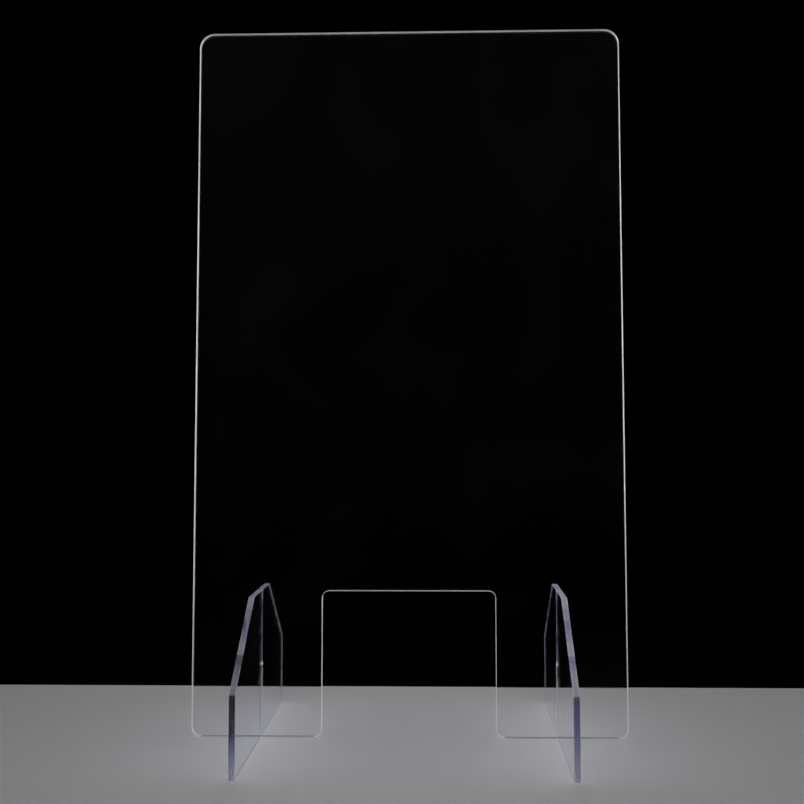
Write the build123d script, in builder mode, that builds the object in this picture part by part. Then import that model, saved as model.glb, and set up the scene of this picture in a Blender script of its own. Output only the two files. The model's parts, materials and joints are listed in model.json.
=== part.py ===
from build123d import *
import os

# Counter-top sneeze guard cut from one thickness of clear acrylic sheet.
# An upright panel with a serving window stands in two identical feet.
# Panel and feet lock together with cross-lap slots, with no fasteners and no glue.
#
# Frame: X runs across the panel, Y is depth and Z is up. The origin is on the counter,
# under the middle of the panel. The customer stands on the -Y side.

# ---- driving dimensions, in millimetres ----
sheet = 6.0  # thickness of the acrylic sheet that every piece is cut from

panel_width = 460.0
panel_height = 760.0
panel_top_radius = 16.0  # upper corners of the panel
panel_base_radius = 9.0  # lower outer corners of the panel

window_width = 184.0  # serving window, open at the counter
window_height = 152.0
window_top_radius = 7.5  # upper corners of the window
window_base_radius = 8.0  # lower corners of the window, where it meets the counter

foot_spacing = 318.0  # from the middle of one foot to the middle of the other
foot_depth = 228.0
foot_height = 153.0
foot_shoulder = 78.0  # height of the upright ends, where the sloping edges begin
foot_top = 76.0  # length of the level top edge
foot_corner_radius = 2.0  # eased corners of the foot's outline

slot_clearance = 0.15  # gap at each face of a sheet that stands in a slot
slot_end_gap = 0.6  # gap between the ends of two slots that meet
slot_end_radius = 0.5  # left in the slot's inner corners by the cutter
arris = 0.4  # bevel that takes the sharpness off every cut edge

# ---- worked-out dimensions ----
slot_width = sheet + 2 * slot_clearance
panel_slot_height = (foot_height + slot_end_gap) / 2  # up from the panel's lower edge
foot_slot_depth = (foot_height + slot_end_gap) / 2  # down from the foot's top edge
foot_slot_floor = foot_height - foot_slot_depth
left_and_right = ((-foot_spacing / 2, 0), (foot_spacing / 2, 0))

os.makedirs("parts", exist_ok=True)

# ---- shield panel: one sheet across the counter ----
with BuildPart() as shield_panel:
    with BuildSketch(Plane.XZ) as panel_outline:
        Rectangle(panel_width, panel_height, align=(Align.CENTER, Align.MIN))
        Rectangle(window_width, window_height, align=(Align.CENTER, Align.MIN), mode=Mode.SUBTRACT)

        # corners on the counter, from left to right: outer, window, window, outer
        base_corners = panel_outline.vertices().group_by(Axis.Y)[0].sort_by(Axis.X)
        fillet(base_corners[1:3], window_base_radius)
        base_corners = panel_outline.vertices().group_by(Axis.Y)[0].sort_by(Axis.X)
        fillet([base_corners[0], base_corners[-1]], panel_base_radius)

        window_corners = panel_outline.vertices().filter_by_position(
            Axis.Y, window_height - arris, window_height + arris
        )
        fillet(window_corners, window_top_radius)
        fillet(panel_outline.vertices().group_by(Axis.Y)[-1], panel_top_radius)

        # a slot rises from the lower edge over each foot
        with Locations(*left_and_right):
            Rectangle(slot_width, panel_slot_height, align=(Align.CENTER, Align.MIN), mode=Mode.SUBTRACT)
        slot_corners = panel_outline.vertices().filter_by_position(
            Axis.Y, panel_slot_height - arris, panel_slot_height + arris
        )
        fillet(slot_corners, slot_end_radius)
    extrude(amount=sheet / 2, both=True)
    chamfer(shield_panel.faces().filter_by(Axis.Y).edges(), arris)
shield_panel.part.label = "shield_panel"
export_step(shield_panel.part, "parts/shield_panel.step")

# ---- feet: two equal sheets that stand front to back, square to the panel ----
for foot_name, foot_x in (("left_foot", -foot_spacing / 2), ("right_foot", foot_spacing / 2)):
    with BuildPart() as foot:
        with BuildSketch(Plane.YZ.offset(foot_x)) as foot_outline:
            with BuildLine():
                Polyline(
                    (-foot_depth / 2, 0),
                    (foot_depth / 2, 0),
                    (foot_depth / 2, foot_shoulder),
                    (foot_top / 2, foot_height),
                    (-foot_top / 2, foot_height),
                    (-foot_depth / 2, foot_shoulder),
                    close=True,
                )
            make_face()
            fillet(foot_outline.vertices(), foot_corner_radius)

            # the slot opens upwards and takes the panel
            with Locations((0, foot_height)):
                Rectangle(slot_width, foot_slot_depth, align=(Align.CENTER, Align.MAX), mode=Mode.SUBTRACT)
            slot_corners = foot_outline.vertices().filter_by_position(
                Axis.Y, foot_slot_floor - arris, foot_slot_floor + arris
            )
            fillet(slot_corners.filter_by_position(Axis.X, -sheet, sheet), slot_end_radius)
        extrude(amount=sheet / 2, both=True)
        chamfer(foot.faces().filter_by(Axis.X).edges(), arris)
    foot.part.label = foot_name
    export_step(foot.part, f"parts/{foot_name}.step")
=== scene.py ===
import json
import math

import bmesh
import bpy
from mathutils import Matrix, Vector


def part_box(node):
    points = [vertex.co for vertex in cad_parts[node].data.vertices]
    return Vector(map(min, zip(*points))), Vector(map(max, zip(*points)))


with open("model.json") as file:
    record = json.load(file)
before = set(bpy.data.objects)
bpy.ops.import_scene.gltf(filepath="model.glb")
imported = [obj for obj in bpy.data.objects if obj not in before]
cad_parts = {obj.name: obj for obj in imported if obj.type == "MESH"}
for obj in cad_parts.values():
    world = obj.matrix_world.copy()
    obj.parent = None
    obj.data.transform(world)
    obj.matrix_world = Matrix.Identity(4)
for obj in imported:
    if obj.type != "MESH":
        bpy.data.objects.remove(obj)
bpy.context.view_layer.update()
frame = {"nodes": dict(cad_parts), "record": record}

# The guard's three pieces keep their CAD shapes. This script gives them their acrylic, and puts a
# pale counter, soft lamps and a camera round them. Sizes are in metres.
panel_low, panel_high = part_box("shield_panel")
foot_low, foot_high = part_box("right_foot")
window_half_width = frame["record"]["physics"]["openings"][0]["box_m"][1][0]
panel_width = panel_high.x - panel_low.x
sheet = panel_high.y - panel_low.y
foot_x = (foot_low.x + foot_high.x) / 2


# ---- camera: in front of the guard, a little right of its middle, looking slightly upwards ----
def make_camera():
    right, back, up = 0.0841, 1.942, 0.7049  # in panel widths, from the guard's origin
    pitch, roll, yaw = 0.054, 0.002, 0.0218  # in radians, away from looking level along +Y
    camera = bpy.data.objects.new("camera", bpy.data.cameras.new("camera"))
    bpy.context.scene.collection.objects.link(camera)
    camera.location = (right * panel_width, -back * panel_width, up * panel_width)
    camera.rotation_euler = (math.radians(90) + pitch, roll, yaw)
    camera.data.sensor_width = 36
    camera.data.lens = 37.21
    camera.data.shift_x = -0.0306
    camera.data.shift_y = -0.0229
    bpy.context.scene.camera = camera


# ---- small helpers for node trees ----
def new_material(name):
    material = bpy.data.materials.new(name)
    material.use_nodes = True
    tree = material.node_tree
    tree.nodes.clear()
    output = tree.nodes.new("ShaderNodeOutputMaterial")
    return material, tree, output


def feed(tree, sockets, values):
    """Links each socket to its value, or sets it where the value is a number or a tuple."""
    for socket, value in zip(sockets, values):
        if isinstance(value, bpy.types.NodeSocket):
            tree.links.new(value, socket)
        else:
            socket.default_value = value


def math_node(tree, operation, *values, clamp=False):
    node = tree.nodes.new("ShaderNodeMath")
    node.operation = operation
    node.use_clamp = clamp
    feed(tree, node.inputs, values)
    return node.outputs[0]


def product(tree, first, *others):
    for other in others:
        first = math_node(tree, "MULTIPLY", first, other)
    return first


def mix_number(tree, factor, low, high):
    node = tree.nodes.new("ShaderNodeMix")
    node.data_type = "FLOAT"
    feed(tree, (node.inputs[0], node.inputs[2], node.inputs[3]), (factor, low, high))
    return node.outputs[0]


def mix_colour(tree, factor, low, high):
    node = tree.nodes.new("ShaderNodeMix")
    node.data_type = "RGBA"
    feed(tree, (node.inputs[0], node.inputs[6], node.inputs[7]), (factor, (*low, 1), (*high, 1)))
    return node.outputs[2]


def mix_shader(tree, factor, low, high):
    node = tree.nodes.new("ShaderNodeMixShader")
    feed(tree, node.inputs, (factor, low, high))
    return node.outputs[0]


def remap(tree, value, source, target):
    """Maps the range source to the range target, and holds what lies beyond at the target's ends."""
    node = tree.nodes.new("ShaderNodeMapRange")
    feed(tree, node.inputs, (value, *source, *target))
    return node.outputs[0]


def noise(tree, at, per_metre, detail=2.0):
    """Noise from 0 to 1, with this many grains to the metre along X, Y and Z."""
    scaled = tree.nodes.new("ShaderNodeVectorMath")
    scaled.operation = "MULTIPLY"
    feed(tree, scaled.inputs, (at, per_metre))
    texture = tree.nodes.new("ShaderNodeTexNoise")
    texture.inputs["Scale"].default_value = 1.0
    texture.inputs["Detail"].default_value = detail
    tree.links.new(scaled.outputs[0], texture.inputs["Vector"])
    return texture.outputs[0]


def by_height(tree, height, stops):
    """Goes smoothly from stop to stop. stops lists heights in metres, from 0 up, and the value at each."""
    top = stops[-1][0]
    node = tree.nodes.new("ShaderNodeValToRGB")
    node.color_ramp.interpolation = "EASE"
    elements = node.color_ramp.elements
    for element, (_, value) in zip(elements, (stops[0], stops[-1])):
        element.color = (value, value, value, 1)
    for metres, value in stops[1:-1]:
        elements.new(metres / top).color = (value, value, value, 1)
    tree.links.new(math_node(tree, "DIVIDE", height, top), node.inputs[0])
    return node.outputs[0]


def in_box(tree, place, low, high):
    """1 where the point lies in the box, measured on the right half and mirrored to the left."""
    inside = 1.0
    for axis in range(3):
        value = place.outputs[axis]
        if axis == 0:
            value = math_node(tree, "ABSOLUTE", value)
        above = math_node(tree, "GREATER_THAN", value, low[axis])
        below = math_node(tree, "LESS_THAN", value, high[axis])
        inside = product(tree, above, below, inside)
    return inside


# ---- acrylic: polished faces and satin cut edges ----
def cut_edge_frost(tree, at, cut, face_axis, clearer, swell, wander):
    """How frosted a cut edge is, and the fine strokes that the cutter left along it."""
    place = tree.nodes.new("ShaderNodeSeparateXYZ")
    tree.links.new(at, place.inputs[0])
    share = 1.0
    for low, high, share_inside in clearer:
        share = mix_number(tree, in_box(tree, place, low, high), share, share_inside)

    patches = remap(tree, noise(tree, at, (28, 28, 28)), (0.3, 0.7), (0.75, 1.15))
    drift = remap(tree, noise(tree, at, (12, 12, 12)), (0, 1), (-wander, 0))
    swelling = by_height(tree, math_node(tree, "ADD", place.outputs["Z"], drift), swell)

    stroke_grain = [70, 70, 70]
    stroke_grain[face_axis] = 2200
    strokes = noise(tree, at, stroke_grain, 3.0)
    streaks = remap(tree, strokes, (0.3, 0.7), (0.75, 1.2))
    return product(tree, cut, share, patches, swelling, streaks), strokes


def face_marks(tree, at):
    """Soft smudges and a few nearly upright hairline scratches, from 0 to 1."""
    smudges = remap(tree, noise(tree, at, (9, 9, 9), 5.0), (0.48, 0.75), (0, 1))
    slanted = tree.nodes.new("ShaderNodeVectorRotate")
    slanted.inputs["Axis"].default_value = (1, 1, 0)
    slanted.inputs["Angle"].default_value = 0.25
    tree.links.new(at, slanted.inputs["Vector"])
    scratches = noise(tree, slanted.outputs[0], (1500, 1500, 22), 1.0)
    hairlines = remap(tree, scratches, (0.72, 0.8), (0, 1))
    return math_node(tree, "MAXIMUM", product(tree, smudges, 0.35), hairlines)


def acrylic(name, face_axis, frost_colour, glow, haze, clearer, swell, wander, inner_colour, depth):
    """Clear sheet with polished faces across face_axis and frosted cut edges.

    glow is how much of a frosted edge scatters the light that reaches it from behind, and haze how
    much of it scatters the light that falls on it. clearer lists boxes, each with the share of that
    frost that the edges inside it have. swell lists heights and the frost at each, for the brighter
    and duller stretches, which on the feet are partly painted highlights of the overhead lamp, and
    wander is how far they stray from those heights. inner_colour is the colour that light takes on
    inside the sheet, and depth how strongly it does so over a metre.
    """
    material, tree, output = new_material(name)
    nodes, links = tree.nodes, tree.links
    coordinates = nodes.new("ShaderNodeTexCoord")
    at = coordinates.outputs["Object"]
    normal = nodes.new("ShaderNodeSeparateXYZ")
    links.new(coordinates.outputs["Normal"], normal.inputs[0])
    squareness = math_node(tree, "ABSOLUTE", normal.outputs[face_axis])
    cut = math_node(tree, "LESS_THAN", squareness, 0.95)
    frost, strokes = cut_edge_frost(tree, at, cut, face_axis, clearer, swell, wander)
    marks = face_marks(tree, at)

    roughness = math_node(
        tree, "ADD", mix_number(tree, cut, product(tree, marks, 0.08), 0.12), product(tree, frost, 0.26)
    )
    film = remap(tree, marks, (0, 1), (0.0004, 0.012))
    milkiness = mix_number(tree, cut, film, product(tree, frost, haze))
    waves = remap(tree, noise(tree, at, (14, 14, 14)), (0, 1), (0, 4))
    bump = nodes.new("ShaderNodeBump")
    bump.inputs["Distance"].default_value = 0.00003
    links.new(mix_number(tree, cut, waves, strokes), bump.inputs["Height"])

    body = nodes.new("ShaderNodeBsdfPrincipled")
    body.inputs["IOR"].default_value = 1.49
    links.new(mix_colour(tree, cut, (0.98, 0.982, 0.99), frost_colour), body.inputs["Base Color"])
    links.new(roughness, body.inputs["Roughness"])
    links.new(math_node(tree, "SUBTRACT", 1.0, milkiness, clamp=True), body.inputs["Transmission Weight"])
    links.new(bump.outputs[0], body.inputs["Normal"])

    scatter = nodes.new("ShaderNodeBsdfTranslucent")
    scatter.inputs["Color"].default_value = (*frost_colour, 1)
    glowing = math_node(tree, "MULTIPLY", frost, glow, clamp=True)
    surface = mix_shader(tree, glowing, body.outputs[0], scatter.outputs[0])

    # lamps light what stands behind the sheet, and the far cut edges, straight through it
    light_path = nodes.new("ShaderNodeLightPath")
    unseen = nodes.new("ShaderNodeBsdfTransparent")
    unseen.inputs["Color"].default_value = (0.94, 0.94, 0.95, 1)
    surface = mix_shader(tree, light_path.outputs["Is Shadow Ray"], surface, unseen.outputs[0])
    links.new(surface, output.inputs["Surface"])

    inside = nodes.new("ShaderNodeVolumeAbsorption")
    inside.inputs["Color"].default_value = (*inner_colour, 1)
    inside.inputs["Density"].default_value = depth
    links.new(inside.outputs[0], output.inputs["Volume"])
    return material


# ---- stage ----
def make_floor():
    """A pale counter, little deeper than the feet, so that the panel shows against the dark."""
    low, high = Vector((-0.9, -0.176, -0.03)), Vector((0.9, 0.175, 0.0))
    mesh = bpy.data.meshes.new("floor")
    floor = bpy.data.objects.new("floor", mesh)
    bpy.context.scene.collection.objects.link(floor)
    work = bmesh.new()
    bmesh.ops.create_cube(work, size=1)
    for vertex in work.verts:
        vertex.co = Vector((low[i] if vertex.co[i] < 0 else high[i]) for i in range(3))
    bmesh.ops.bevel(work, geom=work.edges, offset=0.004, segments=3, affect="EDGES")
    work.to_mesh(mesh)
    work.free()
    material, tree, output = new_material("floor")
    paint = tree.nodes.new("ShaderNodeBsdfPrincipled")
    paint.inputs["Base Color"].default_value = (0.75, 0.75, 0.755, 1)
    paint.inputs["Roughness"].default_value = 0.7
    tree.links.new(paint.outputs[0], output.inputs["Surface"])
    mesh.materials.append(material)


def softbox(name, place, aim, size, power, spread=180):
    """A lamp that lights the guard and the counter but isn't itself seen, directly or through the sheet."""
    lamp = bpy.data.lights.new(name, "AREA")
    lamp.shape = "RECTANGLE"
    lamp.size, lamp.size_y = size
    lamp.energy = power
    lamp.spread = math.radians(spread)
    holder = bpy.data.objects.new(name, lamp)
    bpy.context.scene.collection.objects.link(holder)
    holder.location = place
    holder.rotation_euler = (Vector(aim) - Vector(place)).to_track_quat("-Z", "Y").to_euler()
    holder.visible_camera = False
    holder.visible_transmission = False


def make_lights():
    softbox("overhead", (0, -0.2, 1.33), (0, 0, 0.2), (1.0, 0.7), 2.1)
    for side in (-1, 1):
        softbox(f"side_{side}", (side * 1.3, 0.05, 0.5), (0, 0, 0.6), (0.8, 0.7), 2.75, spread=80)


def make_world():
    """Dark surroundings, faintly bluish above the customer, which veils the upper panel."""
    veil, everywhere = 0.035, 0.0002
    world = bpy.data.worlds.new("world")
    bpy.context.scene.world = world
    world.use_nodes = True
    tree = world.node_tree
    background = tree.nodes["Background"]
    direction = tree.nodes.new("ShaderNodeTexCoord")
    split = tree.nodes.new("ShaderNodeSeparateXYZ")
    tree.links.new(direction.outputs["Generated"], split.inputs[0])
    towards_customer = math_node(tree, "MULTIPLY", split.outputs["Y"], -1.0, clamp=True)
    upward = math_node(tree, "ADD", split.outputs["Z"], 0.2, clamp=True)
    brightness = product(tree, towards_customer, upward)
    background.inputs["Color"].default_value = (0.68, 0.68, 0.92, 1)
    strength = math_node(tree, "MULTIPLY_ADD", brightness, veil, everywhere)
    tree.links.new(strength, background.inputs["Strength"])


bpy.context.scene.view_settings.view_transform = "Standard"
make_camera()
make_floor()
make_lights()
make_world()

# Edges with less frost than the rest, as boxes on the right half: two corners, and the share left.
# The slots meet halfway up the feet, and the frost is whole for a little way on each side of there.
# The feet's level tops are smoother than their slopes. The undersides stand on the counter, and the
# panel's are level between its rounded lower corners.
slots_meet = foot_high.z / 2
meeting = 0.002
underside = 0.0003
panel_slots = ((foot_x - sheet, -1, -1), (foot_x + sheet, 1, slots_meet - meeting), 0.1)
foot_slot = ((-1, -sheet, slots_meet + meeting), (1, sheet, foot_high.z - 0.001), 0.3)
foot_top = ((-1, -1, foot_high.z - 0.0004), (1, 1, 1), 0.65)
foot_base = ((-1, -1, -1), (1, 1, underside), 0.0)
panel_base = ((window_half_width + 0.011, -1, -1), (panel_high.x - 0.0105, 1, underside), 0.0)

# Frost by height. On the feet these bands are partly their frost and partly painted highlights of the
# overhead lamp on the slopes: a bright top, a sudden change above their bends, and duller ends.
panel_swell = [(0.085 * step, 0.8 if step % 2 else 1.0) for step in range(10)]
foot_frost_and_painted_highlights = [
    (0.0, 0.65), (0.03, 0.5), (0.072, 0.5), (0.079, 1.25), (0.085, 1.2),
    (0.094, 0.8), (0.101, 0.3), (0.104, 0.4), (0.107, 1.2), (0.110, 1.1),
    (0.119, 0.4), (0.128, 0.15), (0.140, 0.6), (0.147, 1.1), (0.153, 1.3),
]

finishes = {
    "shield_panel": acrylic(
        "panel_acrylic_clear",
        face_axis=1,
        frost_colour=(0.97, 0.97, 0.975),
        glow=0.4,
        haze=0.85,
        clearer=(panel_slots, panel_base),
        swell=panel_swell,
        wander=0.027,
        inner_colour=(0.5, 0.6, 0.7),
        depth=0.3,
    ),
}
# Each foot has its own acrylic, painted for the side light: the right foot's whiter frost colour, full haze
# and lighter inner colour paint the stronger light falling on it from the right, and the left foot's greyer
# frost colour, thinner haze and denser inner colour paint the shade on it.
for side, frost_colour, haze, inner_colour, depth in (
    ("left", (0.84, 0.82, 0.97), 0.52, (0.34, 0.42, 0.92), 8.0),
    ("right", (0.92, 0.87, 1.0), 1.0, (0.34, 0.4, 0.92), 6.5),
):
    finishes[f"{side}_foot"] = acrylic(
        f"{side}_foot_acrylic_painted_side_light",
        face_axis=0,
        frost_colour=frost_colour,
        glow=0.0,
        haze=haze,
        clearer=(foot_slot, foot_top, foot_base),
        swell=foot_frost_and_painted_highlights,
        wander=0.004,
        inner_colour=inner_colour,
        depth=depth,
    )
for node, material in finishes.items():
    for slot in frame["nodes"][node].material_slots:
        slot.link = "OBJECT"
        slot.material = material
